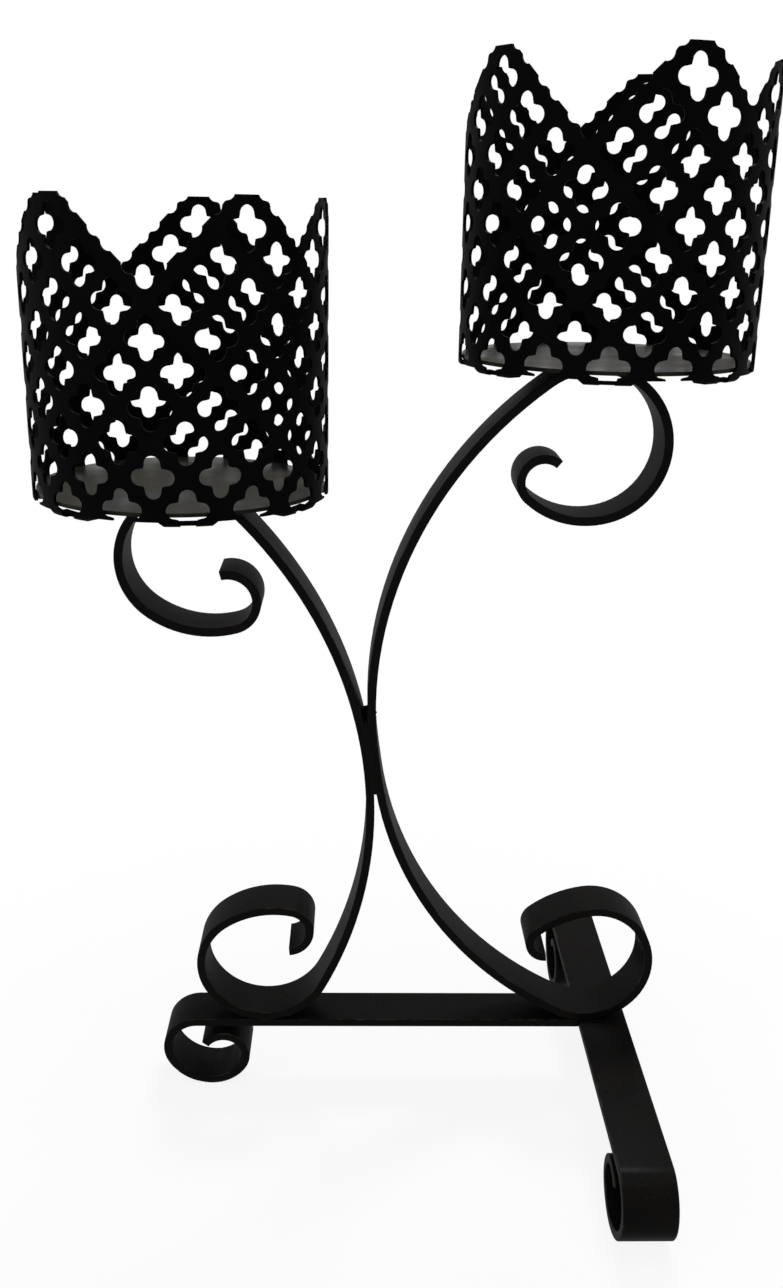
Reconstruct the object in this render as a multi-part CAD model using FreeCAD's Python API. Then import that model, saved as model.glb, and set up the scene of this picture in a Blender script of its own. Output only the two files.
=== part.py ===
import FreeCAD, Part
import math
import os

# Double candle holder of bent flat bar, with two pierced crown cups
# Millimetres, +X to the right as seen from the front, +Y to the back, +Z up
# The origin is on the floor, under the middle of the overall width and depth
# The sizes below count from the middle of the scrolls' width, where the two scrolls touch

# Flat bar that the scrolls and the base are bent from
BAR_WIDTH = 19.05
BAR_THICKNESS = 3.175
BAR_EDGE_ROUND = 0.4

# Base: a crossbar from left to right, butted against a foot bar from front to back
# Each foot is a row of bends, as radius at mid thickness and turn in degrees
FOOT_BENDS = ((11.8, 119.7), (18.4, 57.0), (14.9, 57.1), (8.9, 180.0))
CROSSBAR_FLAT = 153.0
FOOT_BAR_FRONT = 92.5
FOOT_BAR_BACK = 70.0
FOOT_BAR_X = 94.4

# Scrolls: where they touch, and how far they lean to the left there
CONTACT_HEIGHT = 113.0
CONTACT_LEAN = 8.2

# Scrolls: straight run below the contact, turn of each long arm, then the bends of the curl at its end
LEFT_TOP_SWEEP = 37.0
LEFT_TOP_CURL = ((24.3, 189.5), (36.2, 50.9), (10.2, 179.2))
RIGHT_TOP_SWEEP = 61.5
RIGHT_TOP_CURL = ((26.4, 200.4), (30.6, 57.6), (8.1, 177.7))
LEFT_BASE_STRAIGHT = 0.0
LEFT_BASE_SWEEP = 36.1
LEFT_BASE_CURL = ((25.2, 122.6), (21.5, 84.5), (34.3, 46.4), (8.7, 164.4))
RIGHT_BASE_STRAIGHT = 8.0
RIGHT_BASE_SWEEP = 55.15
RIGHT_BASE_CURL = ((24.3, 155.1), (20.8, 60.5), (43.1, 30.0), (6.1, 146.6))

# Cups: axis, height of the plate's underside above the base, turn of the front peak
LEFT_CUP_X = -66.7
LEFT_CUP_Y = -5.0
LEFT_PLATE_HEIGHT = 214.4
LEFT_CUP_TURN = 33.4
RIGHT_CUP_X = 79.4
RIGHT_CUP_Y = 5.0
RIGHT_PLATE_HEIGHT = 258.8
RIGHT_CUP_TURN = 15.2

# Pierced sheet of the cup walls: staggered four-lobed holes, one pitch both ways
HOLE_PITCH = 21.0
SHEET = 1.0
COLUMNS = 15
LOBE_REACH = 6.83
LOBE_RADIUS = 2.63
CUSP_OFFSET = 2.94

# Crown: its edge runs down from each peak beside a slanting row of holes and cuts into their lobes
PEAKS = 5
VALLEY_ROW = 3.5
TOP_ROW = 4
TOP_RIM = 9.6
EDGE_CUT = 4.4
SEAM_GAP = 0.3

# Foot of the cup wall: every second column ends in a tab folded under the plate
TAB_COLUMNS = (-7, -5, -3, -1, 1, 3, 5, 7)
TAB_WIDTH = 14.7
TAB_CHAMFER = 2.0
TAB_REACH = 6.0
TAB_BEND = 0.8
TAB_GAP = 2.1
WALL_FOOT_DROP = 3.6
FOLD_HOLE_DEPTH = 3.1

# Candle plates
PLATE_THICKNESS = 1.3
PLATE_CLEARANCE = 0.3
ROW_ABOVE_PLATE = 0.9

# Weld beads
BEAD_RADIUS = 2.2
BEAD_PROUD = 0.7
CENTRE_BEAD_LENGTH = 31.0
GROOVE_GAP = 1.6
GROOVE_BEAD_RADIUS = 1.3
GROOVE_BEAD_INSET = 1.0
SEAM_TACK_RADIUS = 1.6
SEAM_TACK_LENGTH = 4.4
SEAM_TACK_ROWS = (1, 2, 3)
RIM_TACK_RADIUS = 1.2
RIM_TACK_LENGTH = 4.0
RIM_TACK_COLUMNS = (-5.5, -2.5, 0.5, 3.5, 6.5)

# Room that a cutting body reaches past what it cuts
PAST = 1.0

# Every second row of holes is shifted by half a column
HALF = 0.5

# Sizes that follow from the ones above
COLUMN_ANGLE = 360.0 / COLUMNS
PEAK_SPACING = COLUMNS // PEAKS
PEAK_COLUMNS = [PEAK_SPACING * (peak - PEAKS // 2) for peak in range(PEAKS)]
WALL_MIDDLE = COLUMNS * HOLE_PITCH / (2 * math.pi)
WALL_OUTER = WALL_MIDDLE + SHEET / 2
WALL_INNER = WALL_MIDDLE - SHEET / 2
LOW_ROW = PLATE_THICKNESS + ROW_ABOVE_PLATE
WALL_FOOT = LOW_ROW - WALL_FOOT_DROP
CROWN_TOP = LOW_ROW + TOP_ROW * HOLE_PITCH + TOP_RIM
CROSSBAR_END = FOOT_BAR_X - BAR_WIDTH / 2
MIDDLE_X = (LEFT_CUP_X + RIGHT_CUP_X) / 2
MIDDLE_Y = (FOOT_BAR_BACK - FOOT_BAR_FRONT) / 2

UP = FreeCAD.Vector(0, 0, 1)
DEPTH = FreeCAD.Vector(0, 1, 0)
ORIGIN = FreeCAD.Vector(0, 0, 0)


def foot_drop():
    """Height that a foot curl falls from the bar's mid thickness to its lowest bend."""
    drop = 0.0
    turned = 0.0
    for radius, turn in FOOT_BENDS:
        reached = min(turned + turn, 180.0)
        drop += radius * (math.cos(math.radians(turned)) - math.cos(math.radians(reached)))
        turned = reached
    return drop


BASE_TOP = foot_drop() + BAR_THICKNESS


def turned_about_up(shape, degrees):
    copy = shape.copy()
    copy.rotate(ORIGIN, UP, degrees)
    return copy


def moved(shape, x, y, z):
    copy = shape.copy()
    copy.translate(FreeCAD.Vector(x, y, z))
    return copy


def side_point(x, z):
    return FreeCAD.Vector(x, 0, z)


def leftward(heading):
    """Unit vector to the left of a heading in the side plane."""
    angle = math.radians(heading)
    return side_point(-math.sin(angle), math.cos(angle))


def forward(heading):
    angle = math.radians(heading)
    return side_point(math.cos(angle), math.sin(angle))


def straight_side(start, heading, length, offset):
    first = start + leftward(heading) * offset
    return Part.LineSegment(first, first + forward(heading) * length).toShape()


def bent_side(centre, radius, heading, turn, side, offset):
    """Edge of one bend, beside the bar's middle line; side is 1 for a bend to the left."""
    reach = offset - side * radius
    points = []
    for share in (0.0, 0.5, 1.0):
        points.append(centre + leftward(heading + side * turn * share) * reach)
    return Part.Arc(*points).toShape()


def bar_sides(start, heading, flat, bends, side):
    """Left and right outline of a bar that runs flat and then bends one way."""
    half = BAR_THICKNESS / 2
    left = []
    right = []
    place = start
    if flat > 0:
        left.append(straight_side(place, heading, flat, half))
        right.append(straight_side(place, heading, flat, -half))
        place = place + forward(heading) * flat
    for radius, turn in bends:
        centre = place + leftward(heading) * (side * radius)
        left.append(bent_side(centre, radius, heading, turn, side, half))
        right.append(bent_side(centre, radius, heading, turn, side, -half))
        heading += side * turn
        place = centre - leftward(heading) * (side * radius)
    return left, right


def line_between(first, second):
    return Part.LineSegment(first, second).toShape()


def first_end(edge):
    return edge.valueAt(edge.FirstParameter)


def last_end(edge):
    return edge.valueAt(edge.LastParameter)


def start_cap(left, right):
    return line_between(first_end(left[0]), first_end(right[0]))


def end_cap(left, right):
    return line_between(last_end(left[-1]), last_end(right[-1]))


def bar_solid(edges):
    """Bar of the outlined side shape, centred on the mid plane, with its long edges eased."""
    outline = Part.Wire(Part.__sortEdges__(edges))
    face = Part.Face(outline)
    face.translate(DEPTH * (-BAR_WIDTH / 2))
    solid = face.extrude(DEPTH * BAR_WIDTH)
    rims = []
    for edge in solid.Edges:
        flat_to_side = abs(edge.BoundBox.YMax - edge.BoundBox.YMin) < BAR_THICKNESS
        if flat_to_side:
            rims.append(edge)
    return solid.makeFillet(BAR_EDGE_ROUND, rims)


def two_way_bar(first, second):
    """Bar made of two runs that leave the same point in opposite directions."""
    edges = first[0] + first[1] + second[0] + second[1]
    edges.append(end_cap(*first))
    edges.append(end_cap(*second))
    return bar_solid(edges)


def arm_radius(rise, lean, sweep, curl_radius):
    """Radius of a long arm whose curl just reaches the given rise of the bar's middle line."""
    leaving = math.sin(math.radians(lean))
    arriving = math.sin(math.radians(lean + sweep))
    return (rise - curl_radius * (1 - arriving)) / (arriving - leaving)


def arm_start(side):
    """Middle of a scroll's thickness at the contact; side is 1 for the left scroll."""
    heading = 90 + CONTACT_LEAN
    return side_point(0, CONTACT_HEIGHT) + leftward(heading) * (side * BAR_THICKNESS / 2)


def top_arm_radius(side, plate_height, sweep, curl):
    """Radius that brings the top curl up to the underside of the candle plate."""
    rise = plate_height - BAR_THICKNESS / 2 - arm_start(side).z
    return arm_radius(rise, side * CONTACT_LEAN, sweep, curl[0][0])


def base_arm_radius(side, straight, sweep, curl):
    """Radius that brings the lower curl down to the top of the base."""
    straight_drop = straight * math.cos(math.radians(CONTACT_LEAN))
    rise = arm_start(side).z - BAR_THICKNESS / 2 - straight_drop
    return arm_radius(rise, -side * CONTACT_LEAN, sweep, curl[0][0])


def top_arm(side, plate_height, sweep, curl):
    radius = top_arm_radius(side, plate_height, sweep, curl)
    return bar_sides(arm_start(side), 90 + CONTACT_LEAN, 0, ((radius, sweep),) + curl, side)


def base_arm(side, straight, sweep, curl):
    radius = base_arm_radius(side, straight, sweep, curl)
    return bar_sides(arm_start(side), CONTACT_LEAN - 90, straight, ((radius, sweep),) + curl, -side)


def left_scroll():
    top = top_arm(1, LEFT_PLATE_HEIGHT, LEFT_TOP_SWEEP, LEFT_TOP_CURL)
    return two_way_bar(top, base_arm(1, LEFT_BASE_STRAIGHT, LEFT_BASE_SWEEP, LEFT_BASE_CURL))


def right_scroll():
    top = top_arm(-1, RIGHT_PLATE_HEIGHT, RIGHT_TOP_SWEEP, RIGHT_TOP_CURL)
    return two_way_bar(top, base_arm(-1, RIGHT_BASE_STRAIGHT, RIGHT_BASE_SWEEP, RIGHT_BASE_CURL))


def crossbar():
    """Flat run to the left, curled down into the left foot; its right end is cut square."""
    start = side_point(CROSSBAR_END, -BAR_THICKNESS / 2)
    left, right = bar_sides(start, 180, CROSSBAR_FLAT, FOOT_BENDS, 1)
    return bar_solid(left + right + [end_cap(left, right), start_cap(left, right)])


def foot_bar():
    """Flat run from front to back, with a foot curled under at each end."""
    start = side_point(0, -BAR_THICKNESS / 2)
    back = bar_sides(start, 0, FOOT_BAR_BACK, FOOT_BENDS, -1)
    front = bar_sides(start, 180, FOOT_BAR_FRONT, FOOT_BENDS, 1)
    return moved(turned_about_up(two_way_bar(back, front), 90), FOOT_BAR_X, 0, 0)


def facing_prism(outline, depth):
    """Body behind an outline that is drawn on the front of the wall, running inward."""
    shift = DEPTH * -(WALL_OUTER + PAST)
    face = Part.Face(outline)
    face.translate(shift)
    return face.extrude(DEPTH * (depth + PAST))


def hole_outline(height):
    """Four round-ended lobes that meet in sharp corners."""
    shoulder = LOBE_REACH - LOBE_RADIUS
    edges = []
    for quarter in range(4):
        ahead = math.radians(90 * quarter)
        along = side_point(math.cos(ahead), math.sin(ahead))
        across = side_point(-math.sin(ahead), math.cos(ahead))
        middle = side_point(0, height)
        corner_in = middle + (along - across) * CUSP_OFFSET
        lobe_in = middle + along * shoulder - across * LOBE_RADIUS
        tip = middle + along * LOBE_REACH
        lobe_out = middle + along * shoulder + across * LOBE_RADIUS
        corner_out = middle + (along + across) * CUSP_OFFSET
        edges.append(line_between(corner_in, lobe_in))
        edges.append(Part.Arc(lobe_in, tip, lobe_out).toShape())
        edges.append(line_between(lobe_out, corner_out))
    return Part.Wire(edges)


def hole_places():
    """Column and row of every hole, whole or cut through by the crown."""
    places = []
    half_columns = COLUMNS // 2
    for row in range(TOP_ROW + 1):
        for column in range(-half_columns, half_columns + 1):
            places.append((column, row))
            if row < TOP_ROW:
                places.append((column - HALF, row + HALF))
    for peak in PEAK_COLUMNS:
        places.append((peak - HALF, TOP_ROW + HALF))
        places.append((peak + HALF, TOP_ROW + HALF))
    return places


def wall_holes():
    prisms = []
    for column, row in hole_places():
        depth = FOLD_HOLE_DEPTH if row == 0 else SHEET + PAST
        prism = facing_prism(hole_outline(LOW_ROW + row * HOLE_PITCH), depth)
        prisms.append(turned_about_up(prism, column * COLUMN_ANGLE))
    return prisms


def crown_valleys():
    """Notches between the peaks, with sides that rise at 45 degrees in the flat sheet."""
    foot = LOW_ROW + VALLEY_ROW * HOLE_PITCH - EDGE_CUT * math.sqrt(2)
    rise = CROWN_TOP + PAST - foot
    slope = []
    for share in (0.0, 0.25, 0.5, 0.75, 1.0):
        across = WALL_OUTER * math.sin(share * rise / WALL_MIDDLE)
        slope.append((across, foot + share * rise))
    corners = [side_point(-across, height) for across, height in reversed(slope)]
    corners += [side_point(across, height) for across, height in slope[1:]]
    bow = WALL_OUTER * (1 - math.cos(rise / WALL_MIDDLE))
    notch = facing_prism(Part.makePolygon(corners + corners[:1]), bow + SHEET + PAST)
    notches = []
    for peak in PEAK_COLUMNS:
        notches.append(turned_about_up(notch, (peak + PEAK_SPACING / 2) * COLUMN_ANGLE))
    return notches


def bent_strip():
    """The rolled sheet before piercing, with its whole lower edge folded inward."""
    lip_top = -TAB_GAP
    lip_bottom = lip_top - SHEET
    outer_bend = TAB_BEND + SHEET
    lip_end = WALL_OUTER - TAB_REACH
    middle = math.sqrt(0.5)
    outer_middle = side_point(WALL_OUTER - outer_bend * (1 - middle), lip_bottom + outer_bend * (1 - middle))
    inner_middle = side_point(WALL_INNER - TAB_BEND * (1 - middle), lip_top + TAB_BEND * (1 - middle))
    outer_high = side_point(WALL_OUTER, lip_bottom + outer_bend)
    outer_low = side_point(WALL_OUTER - outer_bend, lip_bottom)
    inner_high = side_point(WALL_INNER, lip_top + TAB_BEND)
    inner_low = side_point(WALL_INNER - TAB_BEND, lip_top)
    edges = [
        line_between(side_point(WALL_OUTER, CROWN_TOP), outer_high),
        Part.Arc(outer_high, outer_middle, outer_low).toShape(),
        line_between(outer_low, side_point(lip_end, lip_bottom)),
        line_between(side_point(lip_end, lip_bottom), side_point(lip_end, lip_top)),
        line_between(side_point(lip_end, lip_top), inner_low),
        Part.Arc(inner_low, inner_middle, inner_high).toShape(),
        line_between(inner_high, side_point(WALL_INNER, CROWN_TOP)),
        line_between(side_point(WALL_INNER, CROWN_TOP), side_point(WALL_OUTER, CROWN_TOP)),
    ]
    open_angle = math.degrees(SEAM_GAP / WALL_MIDDLE)
    strip = Part.Face(Part.Wire(edges)).revolve(ORIGIN, UP, 360 - open_angle)
    return turned_about_up(strip, 90 + open_angle / 2)


def between_tabs():
    """Everything below the wall's foot that isn't a tab."""
    low = -TAB_GAP - SHEET - PAST
    half = TAB_WIDTH / 2
    fold = -TAB_GAP - SHEET
    corners = [
        side_point(-half, low),
        side_point(half, low),
        side_point(half, fold),
        side_point(half + TAB_CHAMFER, WALL_FOOT),
        side_point(-half - TAB_CHAMFER, WALL_FOOT),
        side_point(-half, fold),
    ]
    tab = facing_prism(Part.makePolygon(corners + corners[:1]), TAB_REACH + PAST)
    tabs = [turned_about_up(tab, column * COLUMN_ANGLE) for column in TAB_COLUMNS]
    skirt = Part.makeCylinder(WALL_OUTER + PAST, WALL_FOOT - low, side_point(0, low))
    return skirt.cut(tabs)


def cup_wall():
    """Crown-shaped pierced cup wall, its front peak facing forward, above the plate's underside."""
    crown = bent_strip().cut(crown_valleys() + [between_tabs()])
    return crown.cut(wall_holes()).Solids[0]


def candle_plate():
    return Part.makeCylinder(WALL_INNER - PLATE_CLEARANCE, PLATE_THICKNESS)


def capsule(radius, length):
    """Round-ended bead along +Z, centred on the origin."""
    reach = length / 2
    straight = reach - radius
    middle = math.sqrt(0.5) * radius
    high = side_point(0, reach)
    low = side_point(0, -reach)
    shoulder_high = side_point(radius, straight)
    shoulder_low = side_point(radius, -straight)
    edges = [
        line_between(low, high),
        Part.Arc(high, side_point(middle, straight + middle), shoulder_high).toShape(),
        line_between(shoulder_high, shoulder_low),
        Part.Arc(shoulder_low, side_point(middle, -straight - middle), low).toShape(),
    ]
    return Part.Face(Part.Wire(edges)).revolve(ORIGIN, UP, 360)


def centre_welds():
    """Beads over the line where the two scrolls touch, on the front and back edges."""
    bars = Part.makeBox(BAR_WIDTH, BAR_WIDTH, 2 * CENTRE_BEAD_LENGTH)
    bars = moved(bars, -BAR_WIDTH / 2, -BAR_WIDTH / 2, -CENTRE_BEAD_LENGTH)
    sunk = BAR_WIDTH / 2 - (BEAD_RADIUS - BEAD_PROUD)
    beads = []
    for side in (-1, 1):
        bead = moved(capsule(BEAD_RADIUS, CENTRE_BEAD_LENGTH), 0, side * sunk, 0).cut(bars)
        bead.rotate(ORIGIN, DEPTH, -CONTACT_LEAN)
        beads.append(moved(bead, 0, 0, CONTACT_HEIGHT))
    return Part.makeCompound(beads)


def across_bead(radius):
    bead = capsule(radius, BAR_WIDTH - 2 * GROOVE_BEAD_INSET)
    bead.rotate(ORIGIN, FreeCAD.Vector(1, 0, 0), 90)
    return bead


def groove_welds(contact_x, face_height, outward, curl_radius, neighbours):
    """Beads on both sides of the line where a curl touches a flat face."""
    outer = curl_radius + BAR_THICKNESS / 2
    away = math.sqrt(2 * outer * GROOVE_GAP)
    beads = []
    for side in (-1, 1):
        bead = moved(across_bead(GROOVE_BEAD_RADIUS), contact_x + side * away, 0, face_height)
        bead.translate(UP * (outward * GROOVE_GAP / 2))
        beads.append(bead.cut(neighbours).Solids[0])
    return Part.makeCompound(beads)


def touch_run(radius, lean, sweep, curl_radius):
    """Sideways run of an arm's bends to the point where its curl lies level."""
    leaving = math.cos(math.radians(lean))
    arriving = math.cos(math.radians(lean + sweep))
    return radius * (leaving - arriving) + curl_radius * arriving


def highest_x(side, plate_height, sweep, curl):
    """Where a scroll's top curl touches the plate, right of the contact of the arms."""
    radius = top_arm_radius(side, plate_height, sweep, curl)
    return arm_start(side).x - side * touch_run(radius, side * CONTACT_LEAN, sweep, curl[0][0])


def lowest_x(side, straight, sweep, curl):
    """Where a scroll's lower curl touches the base, right of the contact of the arms."""
    radius = base_arm_radius(side, straight, sweep, curl)
    straight_run = straight * math.sin(math.radians(CONTACT_LEAN))
    bend_run = touch_run(radius, -side * CONTACT_LEAN, sweep, curl[0][0])
    return arm_start(side).x + straight_run - side * bend_run


def base_joint_weld():
    """Bead under the butt joint of the crossbar and the foot bar."""
    slab = Part.makeBox(BAR_WIDTH, 2 * BAR_WIDTH, BAR_THICKNESS)
    slab = moved(slab, CROSSBAR_END - BAR_WIDTH / 2, -BAR_WIDTH, -BAR_THICKNESS)
    sunk = BEAD_RADIUS - BEAD_PROUD - BAR_THICKNESS
    bead = moved(across_bead(BEAD_RADIUS), CROSSBAR_END, 0, sunk)
    return bead.cut(slab).Solids[-1]


def seam_tacks():
    """Short beads that close the cup wall's seam on the outside, one on each bridge of metal."""
    core = Part.makeCylinder(WALL_OUTER, 2 * CROWN_TOP, side_point(0, -CROWN_TOP))
    sunk = WALL_OUTER - SEAM_TACK_RADIUS + BEAD_PROUD
    foot_bridge = (WALL_FOOT + LOW_ROW + HOLE_PITCH / 2 - LOBE_REACH) / 2
    heights = [foot_bridge] + [LOW_ROW + row * HOLE_PITCH for row in SEAM_TACK_ROWS]
    bead = capsule(SEAM_TACK_RADIUS, SEAM_TACK_LENGTH)
    return Part.makeCompound([moved(bead, 0, sunk, height).cut(core) for height in heights])


def rim_tacks():
    """Short round beads in the corner between the plate's underside and the inside of the wall."""
    middle = math.sqrt(0.5) * RIM_TACK_RADIUS
    corner = side_point(WALL_INNER, 0)
    on_plate = side_point(WALL_INNER - RIM_TACK_RADIUS, 0)
    crest = side_point(WALL_INNER - middle, -middle)
    on_wall = side_point(WALL_INNER, -RIM_TACK_RADIUS)
    edges = [
        line_between(corner, on_plate),
        Part.Arc(on_plate, crest, on_wall).toShape(),
        line_between(on_wall, corner),
    ]
    span = math.degrees(RIM_TACK_LENGTH / WALL_INNER)
    bead = Part.Face(Part.Wire(edges)).revolve(ORIGIN, UP, span)
    forward_bead = turned_about_up(bead, -90 - span / 2)
    return Part.makeCompound([turned_about_up(forward_bead, column * COLUMN_ANGLE)
                              for column in RIM_TACK_COLUMNS])


def save(name, shape):
    """One named piece, moved from the arms' frame to the floor frame."""
    moved(shape, -MIDDLE_X, -MIDDLE_Y, BASE_TOP).exportStep("parts/" + name + ".step")


def save_cup(name, wall, cup_x, cup_y, plate_height, turn):
    pieces = {
        "cup_wall": wall,
        "candle_plate": candle_plate(),
        "cup_seam_tacks": seam_tacks(),
        "cup_rim_tacks": rim_tacks(),
    }
    for kind, shape in pieces.items():
        save(name + "_" + kind, moved(turned_about_up(shape, turn), cup_x, cup_y, plate_height))


def main():
    os.makedirs("parts", exist_ok=True)
    bars = {
        "left_scroll": left_scroll(),
        "right_scroll": right_scroll(),
        "crossbar": crossbar(),
        "foot_bar": foot_bar(),
    }
    for name, shape in bars.items():
        save(name, shape)
    base = [bars["crossbar"], bars["foot_bar"]]
    left_plate = moved(candle_plate(), LEFT_CUP_X, LEFT_CUP_Y, LEFT_PLATE_HEIGHT)
    right_plate = moved(candle_plate(), RIGHT_CUP_X, RIGHT_CUP_Y, RIGHT_PLATE_HEIGHT)
    left_top = highest_x(1, LEFT_PLATE_HEIGHT, LEFT_TOP_SWEEP, LEFT_TOP_CURL)
    right_top = highest_x(-1, RIGHT_PLATE_HEIGHT, RIGHT_TOP_SWEEP, RIGHT_TOP_CURL)
    left_low = lowest_x(1, LEFT_BASE_STRAIGHT, LEFT_BASE_SWEEP, LEFT_BASE_CURL)
    right_low = lowest_x(-1, RIGHT_BASE_STRAIGHT, RIGHT_BASE_SWEEP, RIGHT_BASE_CURL)
    save("centre_welds", centre_welds())
    save("base_joint_weld", base_joint_weld())
    save("left_plate_welds", groove_welds(left_top, LEFT_PLATE_HEIGHT, -1, LEFT_TOP_CURL[0][0],
                                          [bars["left_scroll"], left_plate]))
    save("right_plate_welds", groove_welds(right_top, RIGHT_PLATE_HEIGHT, -1, RIGHT_TOP_CURL[0][0],
                                           [bars["right_scroll"], right_plate]))
    save("left_base_welds", groove_welds(left_low, 0, 1, LEFT_BASE_CURL[0][0],
                                         [bars["left_scroll"]] + base))
    save("right_base_welds", groove_welds(right_low, 0, 1, RIGHT_BASE_CURL[0][0],
                                          [bars["right_scroll"]] + base))
    wall = cup_wall()
    save_cup("left", wall, LEFT_CUP_X, LEFT_CUP_Y, LEFT_PLATE_HEIGHT, LEFT_CUP_TURN)
    save_cup("right", wall, RIGHT_CUP_X, RIGHT_CUP_Y, RIGHT_PLATE_HEIGHT, RIGHT_CUP_TURN)


main()
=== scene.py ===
import bpy
import bmesh
import math
from mathutils import Matrix, Vector


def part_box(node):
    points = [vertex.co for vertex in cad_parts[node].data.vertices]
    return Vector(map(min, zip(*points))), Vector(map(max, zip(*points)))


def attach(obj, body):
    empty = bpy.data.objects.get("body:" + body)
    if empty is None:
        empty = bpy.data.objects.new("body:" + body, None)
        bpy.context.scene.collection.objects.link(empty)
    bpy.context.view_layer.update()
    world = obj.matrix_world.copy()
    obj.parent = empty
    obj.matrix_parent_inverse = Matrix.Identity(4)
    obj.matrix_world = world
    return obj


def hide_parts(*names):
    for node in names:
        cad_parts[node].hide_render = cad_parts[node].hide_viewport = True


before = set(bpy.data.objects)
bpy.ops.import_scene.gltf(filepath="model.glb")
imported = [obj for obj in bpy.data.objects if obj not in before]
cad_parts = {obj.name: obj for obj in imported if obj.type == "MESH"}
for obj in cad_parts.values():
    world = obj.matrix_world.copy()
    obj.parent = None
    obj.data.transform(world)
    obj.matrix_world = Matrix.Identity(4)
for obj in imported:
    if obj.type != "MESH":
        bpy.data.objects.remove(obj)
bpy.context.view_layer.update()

MM = 0.001

# Double candle holder of bent flat bar with two pierced crown cups, painted satin black, in a white studio

# Image that the camera is fitted to, in pixels, and the height of its sensor in millimetres
IMAGE_HEIGHT = 1288
FOCAL_PIXELS = 1283.0
SENSOR_HEIGHT = 24.0

# Place of the camera and the nearest that it sees, in millimetres, and its turn in degrees
CAMERA_PLACE = (-11.55, -436.5, 335.7)
CAMERA_NEAREST = 10.0
CAMERA_PITCH = 18.55
CAMERA_YAW = 1.58
CAMERA_ROLL = -1.04

# Lamps: place, width and what they all aim at in metres, and power in watts
LAMPS = {
    "overhead_softbox": {"place": (0.1, -0.1, 1.7), "width": 1.2, "power": 6.0},
    "left_softbox": {"place": (-1.3, -0.9, 0.9), "width": 0.9, "power": 4.0},
    "back_softbox": {"place": (0.2, 0.66, 1.2), "width": 0.35, "power": 8.0},
}
LAMP_AIM = (0.0, 0.0, 0.2)

# White room, and the share of its brightness that lights matt surfaces
WHITE = "#ffffff"
ROOM_LIGHT = 0.35

# Floor, in metres: half its width, and how far from the middle its shadow starts to fade and is gone
# The shadow share is how much of the shadow shows near the feet
FLOOR_COLOUR = "#f4f4f2"
FLOOR_HALF_WIDTH = 4.0
SHADOW_FADES = 0.08
SHADOW_GONE = 0.3
SHADOW_SHARE = 0.12

# Flat bar, in millimetres
BAR_HALF_WIDTH = 9.525
BAR_EDGE_ROUND = 0.4

# Surfaces of the solids: corners this near to each other in millimetres are one, and edges that turn
# further than this angle in degrees stay sharp
MERGE_DISTANCE = 0.0005
SHARP_ANGLE = 22.0

# Weld beads, in millimetres, and the lean of the two scrolls where they touch, in degrees
CENTRE_BEAD_RADIUS = 2.2
GROOVE_BEAD_RADIUS = 1.3
RIPPLE_PITCH = 1.3
CONTACT_LEAN = 8.2

# Ripples: depth as a share of the bead's radius, how finely they wander, how blunt the bead's ends are, and
# how finely its surface is divided along and around it
RIPPLE_DEPTH = 0.14
RIPPLE_WANDER = 5.0
END_BLUNTNESS = 4.0
RINGS_PER_RIPPLE = 9.0
BEAD_SEGMENTS = 28

# The bead under the base joint is this many ripples longer than the joint
JOINT_EXTRA_RIPPLES = 2

# Seeds that make each bead's ripples its own
CENTRE_BEAD_SEED = 0.5
GROOVE_BEAD_SEED = 2.5
JOINT_BEAD_SEED = 4.5

# Weld spatter: radius of the largest drop and how far drops fly in millimetres, drops per square metre
# beside the bead, and the smallest drop as a share of the largest
SPATTER_RADIUS = 0.42
SPATTER_REACH = 26.0
SPATTER_DENSITY = 12000.0
SMALLEST_DROP = 0.35
DROP_SUBDIVISIONS = 2

# Bars with spatter: the bar, the weld that threw it, and its seed
SPATTERED_BARS = (
    ("left_scroll", "centre_welds", 3),
    ("right_scroll", "centre_welds", 5),
    ("crossbar", "left_base_welds", 7),
    ("foot_bar", "right_base_welds", 9),
)

# Paint on each kind of piece: its colours, the width of its clouds and of its orange peel in millimetres,
# and how rough, raised, shiny and dusty it is; the skin is the share of the surface that dried glossier
BAR_PAINT = {"dark": "#0a0908", "pale": "#110f0e", "cloud": 22.0, "peel": 1.3, "rough": (0.5, 0.64),
             "relief": 0.25, "shine": 0.008, "skin": 0.045, "dust": 0.32}
SHEET_PAINT = {"dark": "#050505", "pale": "#0a0a0b", "cloud": 16.0, "peel": 1.0, "rough": (0.5, 0.62),
               "relief": 0.2, "shine": 0.01, "skin": 0.004, "dust": 0.15}
# The plate's pale colour is lighter than the other paints as a painted reflection: it stands in for the grey
# that grazing light gives the plates' tops
PLATE_PAINT = {"dark": "#0a0a08", "pale": "#302e24", "cloud": 17.0, "peel": 1.2, "rough": (0.26, 0.5),
               "relief": 0.2, "shine": 0.036, "skin": 0.011, "dust": 0.45}
WELD_PAINT = {"dark": "#090908", "pale": "#110f0e", "cloud": 6.0, "peel": 0.7, "rough": (0.5, 0.64),
              "relief": 0.35, "shine": 0.01, "skin": 0.045, "dust": 0.2}
SKIN_ROUGHNESS = 0.28

# Clouds, orange peel and nibs: the part of the pattern where clouds turn from dark to pale, the height of
# the relief and the spacing of the nibs in millimetres, and a nib's width as a share of that spacing
CLOUD_RANGE = (0.3, 0.7)
CLOUD_DETAIL = 4.0
PEEL_DETAIL = 2.0
RELIEF_HEIGHT = 0.05
NIB_SPACING = 7.0
NIB_WIDTH = 0.07

# Settled dust: grain in millimetres, the part of the pattern where specks begin and are full, and how far
# up a surface has to face for the same
DUST_COLOUR = "#5a5a55"
DUST_GRAIN = 0.9
DUST_DETAIL = 3.0
DUST_BREAKUP = 0.7
DUST_RANGE = (0.62, 0.8)
DUST_FACING = (0.2, 0.9)
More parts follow.
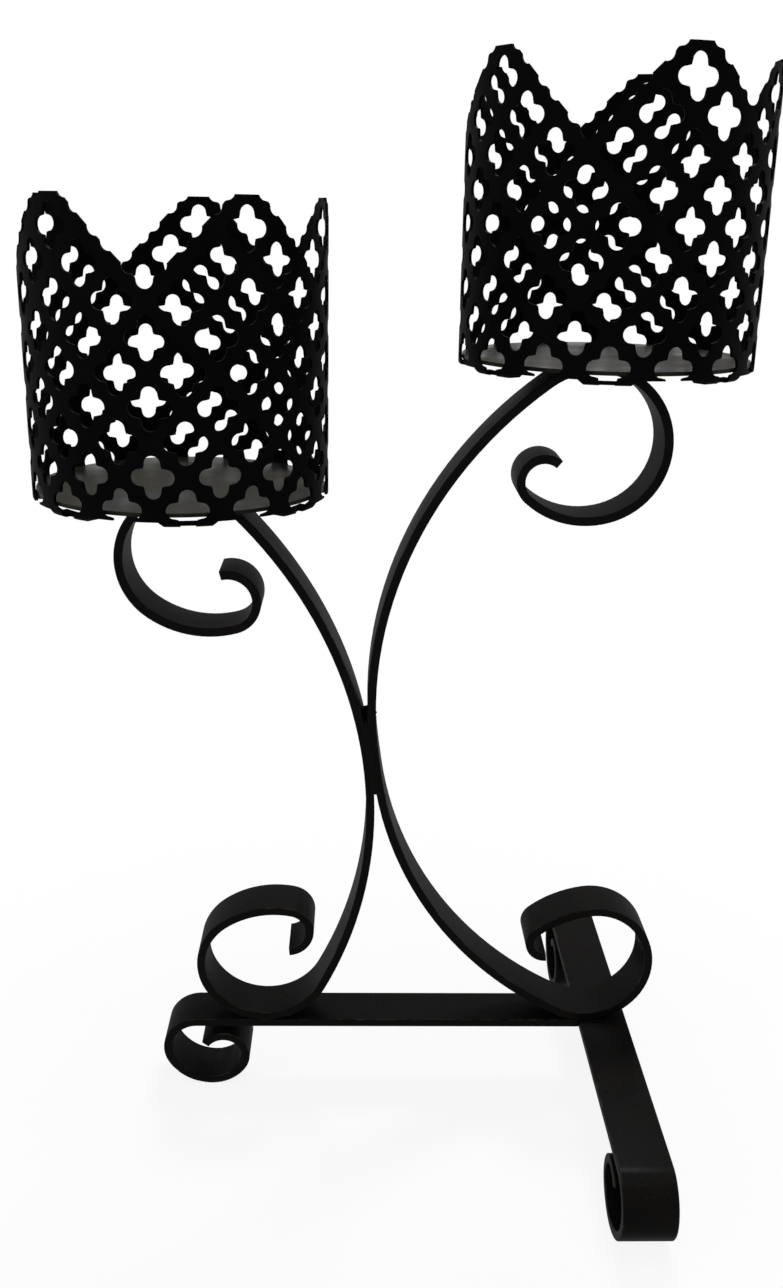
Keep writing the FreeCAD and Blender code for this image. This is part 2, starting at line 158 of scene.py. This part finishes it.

# Rubs and painted edge highlight: length of the patches where the paint is rubbed bare or the edge is painted
# lit, and height of the scuffs under the feet in millimetres, the part of the pattern where patches begin and
# are full, and how strong they get
# Pale colour of rubbed paint, also used as a painted highlight along the rounded bar edges
RUBBED_AND_HIGHLIGHT_COLOUR = "#46433e"
RUB_AND_HIGHLIGHT_LENGTH = 9.0
RUB_AND_HIGHLIGHT_DETAIL = 5.0
RUB_AND_HIGHLIGHT_BREAKUP = 0.65
RUB_AND_HIGHLIGHT_RANGE = (0.48, 0.66)
RUB_AND_HIGHLIGHT_STRENGTH = 0.6
FOOT_WEAR_HEIGHT = 1.6

# Pale line in from a bar's side, partly rubbed paint and partly painted highlight on the rounded edge,
# counted in rounds of its edge: where it begins, is full and starts to end
RUB_AND_HIGHLIGHT_BEGINS = 1.5
RUB_AND_HIGHLIGHT_FULL = 0.6
RUB_AND_HIGHLIGHT_ENDS = 0.3

# Nodes that share a paint or a kind of bead
CUP_WALLS = ("left_cup_wall", "right_cup_wall")
PLATES = ("left_candle_plate", "right_candle_plate")
CUP_TACKS = ("left_cup_seam_tacks", "right_cup_seam_tacks", "left_cup_rim_tacks", "right_cup_rim_tacks")
PLATE_WELDS = ("left_plate_welds", "right_plate_welds")
BASE_WELDS = ("left_base_welds", "right_base_welds")

# Curve of sRGB colours: straight up to the knee, a power above it
SRGB_KNEE = 0.04045
SRGB_SLOPE = 12.92
SRGB_OFFSET = 0.055
SRGB_POWER = 2.4
FULL_CHANNEL = 255


# Colours and nodes

def linear(hex_colour):
    """Linear colour of an sRGB hex value."""
    channels = []
    for start in (1, 3, 5):
        value = int(hex_colour[start:start + 2], 16) / FULL_CHANNEL
        if value <= SRGB_KNEE:
            channels.append(value / SRGB_SLOPE)
        else:
            channels.append(((value + SRGB_OFFSET) / (1 + SRGB_OFFSET)) ** SRGB_POWER)
    return (*channels, 1.0)


def add(tree, kind, settings=None, **inputs):
    """One node with its settings; each input is a value, or another node's output that is linked to it."""
    node = tree.nodes.new(kind)
    for name, value in (settings or {}).items():
        setattr(node, name, value)
    for name, value in inputs.items():
        socket = node.inputs[int(name[1:])] if name[1:].isdigit() else node.inputs[name.replace("_", " ")]
        if isinstance(value, bpy.types.NodeSocket):
            tree.links.new(value, socket)
        else:
            socket.default_value = value
    return node


def calculated(tree, operation, *values):
    """Result of one calculation with values or other nodes' outputs."""
    inputs = {"_%d" % index: value for index, value in enumerate(values)}
    return add(tree, "ShaderNodeMath", {"operation": operation}, **inputs).outputs["Value"]


def ramp(tree, value, start, end, low=0.0, high=1.0, course="LINEAR"):
    """Goes from low to high while the value goes from start to end."""
    node = add(tree, "ShaderNodeMapRange", {"interpolation_type": course}, Value=value, From_Min=start,
               From_Max=end, To_Min=low, To_Max=high)
    return node.outputs["Result"]


def per_metre(millimetres):
    """Pattern scale whose features are about that many millimetres wide."""
    return 1 / (millimetres * MM)


def noise(tree, place, width, detail, breakup=0.5):
    """Cloudy pattern whose features are about that many millimetres wide."""
    node = add(tree, "ShaderNodeTexNoise", Vector=place, Scale=per_metre(width), Detail=detail,
               Roughness=breakup)
    return node.outputs["Fac"]


def blended(tree, share, under, over):
    """Colour that turns from under to over as the share rises."""
    return add(tree, "ShaderNodeMix", {"data_type": "RGBA"}, Factor=share, _6=under, _7=over).outputs[2]


def new_material(name):
    material = bpy.data.materials.new(name)
    material.use_nodes = True
    material.node_tree.nodes.clear()
    return material, material.node_tree


# Satin black paint on mild steel, brushed or sprayed over hot-rolled bar and pierced sheet
# To the eye: near black with faint warm clouds, a soft sheen that brightens on the bends, orange peel,
# dust nibs, and pale corners that are partly rubs and partly painted highlight

def paint_relief(tree, place, peel, relief):
    """Orange peel with a few dust nibs, as a bumped normal."""
    skin = noise(tree, place, peel, PEEL_DETAIL)
    cells = add(tree, "ShaderNodeTexVoronoi", Vector=place, Scale=per_metre(NIB_SPACING))
    nib = ramp(tree, cells.outputs["Distance"], 0.0, NIB_WIDTH, 1.0, 0.0)
    height = calculated(tree, "ADD", skin, nib)
    bump = add(tree, "ShaderNodeBump", Strength=relief, Distance=RELIEF_HEIGHT * MM, Height=height)
    return bump.outputs["Normal"]


def settled_dust(tree, place, amount):
    """Pale specks of dust, only on surfaces that face up."""
    specks = noise(tree, place, DUST_GRAIN, DUST_DETAIL, DUST_BREAKUP)
    shown = ramp(tree, specks, *DUST_RANGE, 0.0, amount)
    normal = add(tree, "ShaderNodeNewGeometry").outputs["Normal"]
    facing = add(tree, "ShaderNodeSeparateXYZ", Vector=normal)
    level = ramp(tree, facing.outputs["Z"], *DUST_FACING)
    return calculated(tree, "MULTIPLY", shown, level)


def bar_wear_and_edge_highlight(tree, place, across, middle):
    """Broken pale line along a bar's four long corners, partly rubbed paint and partly painted highlight on
    the rounded edges, and scuffs under the feet.
    """
    parts = add(tree, "ShaderNodeSeparateXYZ", Vector=place)
    beside = calculated(tree, "SUBTRACT", parts.outputs[across], middle)
    reach = calculated(tree, "ABSOLUTE", beside)
    edge = BAR_HALF_WIDTH * MM
    soft = BAR_EDGE_ROUND * MM
    # Band on the rounded corners: partly rubbed paint, partly painted highlight
    begins = ramp(tree, reach, edge - RUB_AND_HIGHLIGHT_BEGINS * soft, edge - RUB_AND_HIGHLIGHT_FULL * soft)
    ends = ramp(tree, reach, edge - RUB_AND_HIGHLIGHT_ENDS * soft, edge, 1.0, 0.0)
    corner = calculated(tree, "MULTIPLY", begins, ends)
    foot = ramp(tree, parts.outputs["Z"], 0.0, FOOT_WEAR_HEIGHT * MM, 1.0, 0.0)
    both = calculated(tree, "MAXIMUM", corner, foot)
    patches = noise(tree, place, RUB_AND_HIGHLIGHT_LENGTH, RUB_AND_HIGHLIGHT_DETAIL, RUB_AND_HIGHLIGHT_BREAKUP)
    broken = ramp(tree, patches, *RUB_AND_HIGHLIGHT_RANGE, 0.0, RUB_AND_HIGHLIGHT_STRENGTH)
    return calculated(tree, "MULTIPLY", both, broken)


def satin_black(name, look, across=None, middle=0.0):
    """Satin black paint; on a bar, across and middle say where the bar's long corners run."""
    material, tree = new_material(name)
    place = add(tree, "ShaderNodeTexCoord").outputs["Object"]
    clouds = noise(tree, place, look["cloud"], CLOUD_DETAIL)
    tone = ramp(tree, clouds, *CLOUD_RANGE)
    colour = blended(tree, tone, linear(look["dark"]), linear(look["pale"]))
    colour = blended(tree, settled_dust(tree, place, look["dust"]), colour, linear(DUST_COLOUR))
    if across:
        # Pale corner line painted into the colour: partly rubbed paint, partly painted highlight on the
        # rounded edges
        colour = blended(tree, bar_wear_and_edge_highlight(tree, place, across, middle), colour, linear(RUBBED_AND_HIGHLIGHT_COLOUR))
    rough = ramp(tree, clouds, *CLOUD_RANGE, *look["rough"])
    paint = add(tree, "ShaderNodeBsdfPrincipled", Base_Color=colour, Roughness=rough,
                Normal=paint_relief(tree, place, look["peel"], look["relief"]))
    paint.inputs["Specular IOR Level"].default_value = look["shine"]
    paint.inputs["Coat Weight"].default_value = look["skin"]
    paint.inputs["Coat Roughness"].default_value = SKIN_ROUGHNESS
    add(tree, "ShaderNodeOutputMaterial", Surface=paint.outputs["BSDF"])
    return material


# Pieces from the solids

def merged_copy(node):
    """Copy of a solid's surface with its corners joined, smooth over the bends and sharp at the edges."""
    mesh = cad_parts[node].data.copy()
    work = bmesh.new()
    work.from_mesh(mesh)
    bmesh.ops.remove_doubles(work, verts=work.verts, dist=MERGE_DISTANCE * MM)
    for face in work.faces:
        face.smooth = True
    for edge in work.edges:
        edge.smooth = edge.is_manifold and edge.calc_face_angle(0.0) < math.radians(SHARP_ANGLE)
    work.to_mesh(mesh)
    work.free()
    mesh.materials.clear()
    return mesh


def add_piece(name, mesh, nodes=()):
    piece = bpy.data.objects.new(name, mesh)
    bpy.context.scene.collection.objects.link(piece)
    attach(piece, "root")
    if nodes:
        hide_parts(*nodes)


def painted_piece(node, material):
    mesh = merged_copy(node)
    mesh.materials.append(material)
    add_piece(node + "_painted", mesh, [node])


# Weld beads and spatter

def open_tree(name, inputs):
    """Empty geometry tree with named inputs and one geometry output."""
    tree = bpy.data.node_groups.new(name, "GeometryNodeTree")
    for label, kind in inputs.items():
        tree.interface.new_socket(label, in_out="INPUT", socket_type="NodeSocket" + kind)
    tree.interface.new_socket("Geometry", in_out="OUTPUT", socket_type="NodeSocketGeometry")
    return tree


def close_tree(tree, geometry, material):
    whole = add(tree, "GeometryNodeRealizeInstances", Geometry=geometry)
    smooth = add(tree, "GeometryNodeSetShadeSmooth", Geometry=whole.outputs["Geometry"])
    painted = add(tree, "GeometryNodeSetMaterial", Geometry=smooth.outputs["Geometry"], Material=material)
    add(tree, "NodeGroupOutput", Geometry=painted.outputs["Geometry"])


def grown(tree, values, start=None):
    """Plain mesh that a geometry tree makes from its named inputs."""
    maker = bpy.data.objects.new(tree.name, start or bpy.data.meshes.new(tree.name))
    bpy.context.scene.collection.objects.link(maker)
    modifier = maker.modifiers.new(tree.name, "NODES")
    modifier.node_group = tree
    for item in tree.interface.items_tree:
        if item.in_out == "INPUT" and item.name in values:
            modifier[item.identifier] = values[item.name]
    graph = bpy.context.evaluated_depsgraph_get()
    mesh = bpy.data.meshes.new_from_object(maker.evaluated_get(graph))
    maker.modifiers.clear()
    bpy.data.objects.remove(maker)
    return mesh


def bead_girth(tree, along, radius):
    """What a round ball's rings are widened by, so that the bead stays thick up to its blunt ends."""
    square = calculated(tree, "MULTIPLY", along, along)
    inside = calculated(tree, "SUBTRACT", 1.0, square)
    ring = calculated(tree, "SQRT", inside)
    steep = calculated(tree, "POWER", square, END_BLUNTNESS)
    blunt = calculated(tree, "SUBTRACT", 1.0, steep)
    taper = calculated(tree, "SQRT", blunt)
    swell = calculated(tree, "DIVIDE", taper, ring)
    return calculated(tree, "MULTIPLY", swell, radius)


def ripple_height(tree, place, parts, along, given):
    """How far the ripples stand out: crests bowed across the bead, a little uneven along it."""
    wander = add(tree, "ShaderNodeTexNoise", {"noise_dimensions": "4D"}, Vector=place, W=given["Seed"],
                 Scale=RIPPLE_WANDER)
    step = calculated(tree, "DIVIDE", along, given["Ripple Pitch"])
    bow = calculated(tree, "MULTIPLY", parts["X"], parts["X"])
    bent = calculated(tree, "ADD", step, bow)
    uneven = calculated(tree, "ADD", bent, wander.outputs["Fac"])
    phase = calculated(tree, "MULTIPLY", uneven, math.pi)
    wave = calculated(tree, "SINE", phase)
    crest = calculated(tree, "ABSOLUTE", wave)
    return calculated(tree, "MULTIPLY_ADD", crest, given["Ripple Depth"], 1.0)


def weld_bead_tree():
    """Round-ended bead along +Z whose skin is laid in crescent ripples."""
    tree = open_tree("rippled_weld_bead", {"Length": "Float", "Radius": "Float", "Ripple Pitch": "Float",
                                           "Ripple Depth": "Float", "Seed": "Float", "Material": "Material"})
    given = add(tree, "NodeGroupInput").outputs
    ripples = calculated(tree, "DIVIDE", given["Length"], given["Ripple Pitch"])
    rings = calculated(tree, "MULTIPLY", ripples, RINGS_PER_RIPPLE)
    ball = add(tree, "GeometryNodeMeshUVSphere", Segments=BEAD_SEGMENTS, Rings=rings, Radius=1.0)
    place = add(tree, "GeometryNodeInputPosition").outputs["Position"]
    parts = add(tree, "ShaderNodeSeparateXYZ", Vector=place).outputs
    half = calculated(tree, "MULTIPLY", given["Length"], 0.5)
    along = calculated(tree, "MULTIPLY", parts["Z"], half)
    girth = bead_girth(tree, parts["Z"], given["Radius"])
    height = ripple_height(tree, place, parts, along, given)
    wide = calculated(tree, "MULTIPLY", girth, height)
    right = calculated(tree, "MULTIPLY", parts["X"], wide)
    back = calculated(tree, "MULTIPLY", parts["Y"], wide)
    spot = add(tree, "ShaderNodeCombineXYZ", X=right, Y=back, Z=along).outputs["Vector"]
    bead = add(tree, "GeometryNodeSetPosition", Geometry=ball.outputs["Mesh"], Position=spot)
    close_tree(tree, bead.outputs["Geometry"], given["Material"])
    return tree


def spatter_tree():
    """Small round drops of weld metal stuck to a bar, fewer the further they are from the weld."""
    tree = open_tree("weld_spatter", {"Geometry": "Geometry", "Weld": "Vector", "Reach": "Float",
                                      "Density": "Float", "Drop Radius": "Float", "Seed": "Int",
                                      "Material": "Material"})
    given = add(tree, "NodeGroupInput").outputs
    place = add(tree, "GeometryNodeInputPosition").outputs["Position"]
    away = add(tree, "ShaderNodeVectorMath", {"operation": "DISTANCE"}, _0=place, _1=given["Weld"])
    many = ramp(tree, away.outputs["Value"], 0.0, given["Reach"], given["Density"], 0.0)
    drops = add(tree, "GeometryNodeDistributePointsOnFaces", Mesh=given["Geometry"], Density=many,
                Seed=given["Seed"])
    ball = add(tree, "GeometryNodeMeshIcoSphere", Radius=given["Drop Radius"], Subdivisions=DROP_SUBDIVISIONS)
    size = add(tree, "FunctionNodeRandomValue", _2=SMALLEST_DROP, _3=1.0, Seed=given["Seed"])
    stuck = add(tree, "GeometryNodeInstanceOnPoints", Points=drops.outputs["Points"],
                Instance=ball.outputs["Mesh"], Scale=size.outputs[1])
    close_tree(tree, stuck.outputs["Instances"], given["Material"])
    return tree


def joined(meshes):
    """One mesh of several, with the first one's material."""
    work = bmesh.new()
    for mesh in meshes:
        work.from_mesh(mesh)
    whole = meshes[0].copy()
    work.to_mesh(whole)
    work.free()
    return whole


def laid_bead(tree, middle, axis, length, radius, seed, material):
    """Rippled bead laid along an axis, with the crests of its ripples at the given radius."""
    values = {"Length": length, "Radius": radius / (1 + RIPPLE_DEPTH), "Ripple Pitch": RIPPLE_PITCH * MM,
              "Ripple Depth": RIPPLE_DEPTH, "Seed": seed, "Material": material}
    bead = grown(tree, values)
    bead.transform(Matrix.Translation(middle) @ axis.to_track_quat("Z", "Y").to_matrix().to_4x4())
    return bead


def centre_beads(tree, material):
    """Beads down the front and back edges where the two scrolls touch."""
    low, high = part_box("centre_welds")
    lean = math.radians(CONTACT_LEAN)
    axis = Vector((-math.sin(lean), 0, math.cos(lean)))
    length = (high[2] - low[2]) / math.cos(lean)
    radius = CENTRE_BEAD_RADIUS * MM
    beads = []
    for index, y in enumerate((low[1] + radius, high[1] - radius)):
        spot = Vector(((low[0] + high[0]) / 2, y, (low[2] + high[2]) / 2))
        beads.append(laid_bead(tree, spot, axis, length, radius, index + CENTRE_BEAD_SEED, material))
    add_piece("centre_welds_rippled", joined(beads), ["centre_welds"])


def groove_beads(tree, node, on_top, material):
    """Beads in the two grooves beside a curl, on top of the base or under a plate."""
    low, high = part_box(node)
    axis = Vector((0, 1, 0))
    length = high[1] - low[1]
    radius = GROOVE_BEAD_RADIUS * MM
    height = high[2] - radius if on_top else low[2] + radius
    beads = []
    for index, x in enumerate((low[0] + radius, high[0] - radius)):
        spot = Vector((x, (low[1] + high[1]) / 2, height))
        beads.append(laid_bead(tree, spot, axis, length, radius, index + GROOVE_BEAD_SEED, material))
    add_piece(node + "_rippled", joined(beads), [node])


def base_joint_bead(tree, material):
    """Bead under the butt joint of the crossbar and the foot bar."""
    low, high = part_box("base_joint_weld")
    axis = Vector((0, 1, 0))
    length = high[1] - low[1] + JOINT_EXTRA_RIPPLES * RIPPLE_PITCH * MM
    radius = CENTRE_BEAD_RADIUS * MM
    spot = Vector(((low[0] + high[0]) / 2, (low[1] + high[1]) / 2, low[2] + radius))
    bead = laid_bead(tree, spot, axis, length, radius, JOINT_BEAD_SEED, material)
    add_piece("base_joint_weld_rippled", bead, ["base_joint_weld"])


def spatter(tree, bar, weld, seed, material):
    """Drops on one bar round one weld."""
    low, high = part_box(weld)
    middle = (Vector(low) + Vector(high)) / 2
    values = {"Weld": middle, "Reach": SPATTER_REACH * MM, "Density": SPATTER_DENSITY,
              "Drop Radius": SPATTER_RADIUS * MM, "Seed": seed, "Material": material}
    drops = grown(tree, values, merged_copy(bar))
    add_piece(bar + "_spatter", drops)


def make_welds(material):
    bead = weld_bead_tree()
    centre_beads(bead, material)
    base_joint_bead(bead, material)
    for node in PLATE_WELDS:
        groove_beads(bead, node, False, material)
    for node in BASE_WELDS:
        groove_beads(bead, node, True, material)
    drops = spatter_tree()
    for bar, weld, seed in SPATTERED_BARS:
        spatter(drops, bar, weld, seed, material)


# Studio

def turn_of_camera():
    """Axes of the camera from its pitch, yaw and roll."""
    pitch = math.radians(CAMERA_PITCH)
    yaw = math.radians(CAMERA_YAW)
    roll = math.radians(CAMERA_ROLL)
    ahead = Vector((math.sin(yaw) * math.cos(pitch), math.cos(yaw) * math.cos(pitch), -math.sin(pitch)))
    level_right = Vector((math.cos(yaw), -math.sin(yaw), 0))
    level_down = ahead.cross(level_right)
    right = level_right * math.cos(roll) + level_down * math.sin(roll)
    down = level_down * math.cos(roll) - level_right * math.sin(roll)
    return Matrix((right, -down, -ahead)).transposed()


def make_camera():
    data = bpy.data.cameras.new("photo_camera")
    data.sensor_fit = "VERTICAL"
    data.sensor_height = SENSOR_HEIGHT
    data.lens = FOCAL_PIXELS / IMAGE_HEIGHT * SENSOR_HEIGHT
    data.clip_start = CAMERA_NEAREST * MM
    camera = bpy.data.objects.new("photo_camera", data)
    camera.matrix_world = Matrix.Translation(Vector(CAMERA_PLACE) * MM) @ turn_of_camera().to_4x4()
    bpy.context.scene.collection.objects.link(camera)
    bpy.context.scene.camera = camera


def seen_directly(tree):
    """1 for rays from the eye, and for rays mirrored by or passing through the object."""
    path = add(tree, "ShaderNodeLightPath").outputs
    first = calculated(tree, "MAXIMUM", path["Is Camera Ray"], path["Is Glossy Ray"])
    return calculated(tree, "MAXIMUM", first, path["Is Transmission Ray"])


def white_room():
    """White all round to the eye, and dimmer as a light on matt surfaces."""
    world = bpy.data.worlds.new("white_room")
    bpy.context.scene.world = world
    world.use_nodes = True
    tree = world.node_tree
    tree.nodes.clear()
    strength = ramp(tree, seen_directly(tree), 0.0, 1.0, ROOM_LIGHT, 1.0)
    sky = add(tree, "ShaderNodeBackground", Color=linear(WHITE), Strength=strength)
    add(tree, "ShaderNodeOutputWorld", Surface=sky.outputs["Background"])


def floor_material():
    """Matt white studio floor that takes a faint shadow near the feet and is lost in white further off."""
    material, tree = new_material("matt_white_floor")
    place = add(tree, "ShaderNodeTexCoord").outputs["Object"]
    away = add(tree, "ShaderNodeVectorMath", {"operation": "LENGTH"}, Vector=place)
    near = ramp(tree, away.outputs["Value"], SHADOW_FADES, SHADOW_GONE, SHADOW_SHARE, 0.0, "SMOOTHSTEP")
    lit = add(tree, "ShaderNodeBsdfDiffuse", Color=linear(FLOOR_COLOUR))
    white = add(tree, "ShaderNodeEmission", Color=linear(WHITE), Strength=1.0)
    blend = add(tree, "ShaderNodeMixShader", Fac=near, _1=white.outputs["Emission"], _2=lit.outputs["BSDF"])
    chosen = add(tree, "ShaderNodeMixShader", Fac=seen_directly(tree), _1=lit.outputs["BSDF"],
                 _2=blend.outputs["Shader"])
    add(tree, "ShaderNodeOutputMaterial", Surface=chosen.outputs["Shader"])
    return material


def make_floor():
    half = FLOOR_HALF_WIDTH
    corners = [(-half, -half, 0), (half, -half, 0), (half, half, 0), (-half, half, 0)]
    mesh = bpy.data.meshes.new("studio_floor")
    mesh.from_pydata(corners, [], [(0, 1, 2, 3)])
    mesh.materials.append(floor_material())
    floor = bpy.data.objects.new("studio_floor", mesh)
    bpy.context.scene.collection.objects.link(floor)


def softbox(name, place, width, power):
    data = bpy.data.lights.new(name, "AREA")
    data.shape = "DISK"
    data.size = width
    data.energy = power
    lamp = bpy.data.objects.new(name, data)
    lamp.location = place
    lamp.rotation_mode = "QUATERNION"
    lamp.rotation_quaternion = (Vector(LAMP_AIM) - Vector(place)).to_track_quat("-Z", "Y")
    bpy.context.scene.collection.objects.link(lamp)


def make_studio():
    bpy.context.scene.view_settings.view_transform = "Standard"
    white_room()
    make_floor()
    for name, lamp in LAMPS.items():
        softbox(name, lamp["place"], lamp["width"], lamp["power"])


def make_bars():
    """Scrolls and base bars: the same paint, with its wear and painted edge highlight taken across each bar.
    """
    low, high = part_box("crossbar")
    along = satin_black("satin_black_on_scrolls_and_crossbar", BAR_PAINT, "Y", (low[1] + high[1]) / 2)
    for node in ("left_scroll", "right_scroll", "crossbar"):
        painted_piece(node, along)
    low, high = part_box("foot_bar")
    across = satin_black("satin_black_on_foot_bar", BAR_PAINT, "X", (low[0] + high[0]) / 2)
    painted_piece("foot_bar", across)


def make_cups():
    sheet = satin_black("satin_black_on_pierced_sheet", SHEET_PAINT)
    # The plate's paler paint is a painted reflection of grazing light on its top
    plate = satin_black("satin_black_on_plate", PLATE_PAINT)
    for node in CUP_WALLS:
        painted_piece(node, sheet)
    for node in PLATES:
        painted_piece(node, plate)


def main():
    make_camera()
    make_studio()
    make_bars()
    make_cups()
    weld = satin_black("satin_black_on_welds", WELD_PAINT)
    make_welds(weld)
    for node in CUP_TACKS:
        painted_piece(node, weld)


main()
